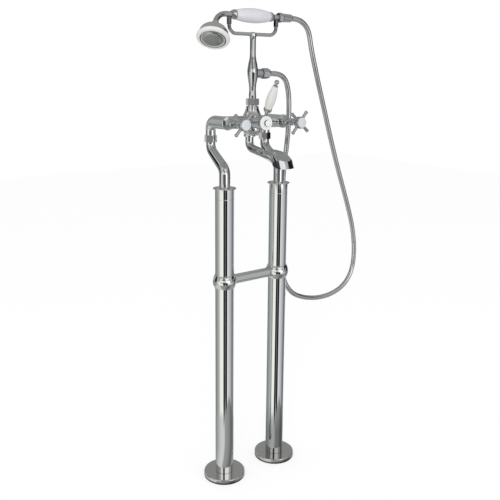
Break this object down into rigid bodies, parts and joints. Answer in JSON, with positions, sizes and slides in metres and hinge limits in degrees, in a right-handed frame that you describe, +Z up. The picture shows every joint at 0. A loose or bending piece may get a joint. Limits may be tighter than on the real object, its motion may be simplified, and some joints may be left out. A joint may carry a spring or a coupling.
{
  "type": "floor standing bath filler",
  "caption": "Floor standing bath filler: two standpipes, bridge mixer with crosshead valves, diverter lever, fan spout, and hand shower on a cradle.",
  "frame": {"origin": "on the floor, midway between the two standpipes, which is the centre of the eight floor screw holes", "axes": "+Z up, -Y towards the bath, +X from the hot standpipe to the cold one"},
  "size_m": [0.6019, 0.2322, 1.28],
  "materials": {
    "polished_chrome": "polished chrome plate on brass",
    "hose_chrome": "chrome plated metal spiral hose",
    "spray_face": "chrome plate with spray holes",
    "glazed_ceramic": null,
    "white_trim": "white glossy ring",
    "rubber_seal": "black rubber",
    "copper_pipe": "plain copper pipe",
    "plate_steel": "plain steel plate"
  },
  "bodies": {
    "root": {"ball_tee_left": "polished_chrome", "ball_tee_right": "polished_chrome", "base_plate_left": "plate_steel", "base_plate_right": "plate_steel", "cap_left": "polished_chrome", "cap_right": "polished_chrome", "cradle_fork": "polished_chrome", "cranked_leg_left": "polished_chrome", "cranked_leg_right": "polished_chrome", "crossbar": "polished_chrome", "floor_flange_left": "polished_chrome", "floor_flange_right": "polished_chrome", "hose": "hose_chrome", "inlet_elbow_left": "polished_chrome", "inlet_elbow_right": "polished_chrome", "lower_standpipe_left": "polished_chrome", "lower_standpipe_right": "polished_chrome", "mixer_body": "polished_chrome", "outlet_nut": "polished_chrome", "riser_column": "polished_chrome", "riser_nut": "polished_chrome", "spout": "polished_chrome", "spout_screen": "spray_face", "supply_pipe_left": "copper_pipe", "supply_pipe_right": "copper_pipe", "union_nut_left": "polished_chrome", "union_nut_right": "polished_chrome", "union_washer_left": "rubber_seal", "union_washer_right": "rubber_seal", "upper_standpipe_left": "polished_chrome", "upper_standpipe_right": "polished_chrome", "valve_bonnet_left": "polished_chrome", "valve_bonnet_right": "polished_chrome"},
    "hot_handle": {"crosshead_left": "polished_chrome", "index_disc_left": "glazed_ceramic", "valve_spindle_left": "polished_chrome"},
    "cold_handle": {"crosshead_right": "polished_chrome", "index_disc_right": "glazed_ceramic", "valve_spindle_right": "polished_chrome"},
    "diverter_lever": {"diverter_spindle": "polished_chrome", "lever_hub": "polished_chrome", "lever_ferrule": "polished_chrome", "lever_grip": "glazed_ceramic", "lever_finial": "polished_chrome", "diverter_disc": "glazed_ceramic", "diverter_button": "polished_chrome"},
    "handset": {"handset_neck": "polished_chrome", "head_ferrule": "polished_chrome", "handset_grip": "glazed_ceramic", "tail_connector": "polished_chrome", "handset_hose_nut": "polished_chrome", "rose_bell": "polished_chrome", "rose_ring": "white_trim", "spray_plate": "spray_face"}
  },
  "joints": [
    {"name": "hot_turn", "type": "hinge", "parent": "root", "child": "hot_handle", "pos_m": [-0.09, -0.0833, 0.9945], "axis": [0, -1, 0], "range_deg": [0, 90]},
    {"name": "cold_turn", "type": "hinge", "parent": "root", "child": "cold_handle", "pos_m": [0.09, -0.0833, 0.9945], "axis": [0, -1, 0], "range_deg": [-90, 0]},
    {"name": "diverter_turn", "type": "hinge", "parent": "root", "child": "diverter_lever", "pos_m": [0, -0.05, 0.9945], "axis": [0, -1, 0], "range_deg": [-45, 45]},
    {"name": "handset_lift", "type": "slide", "parent": "root", "child": "handset", "axis": [0, 0, 1], "range_m": [0, 0.06]}
  ]
}
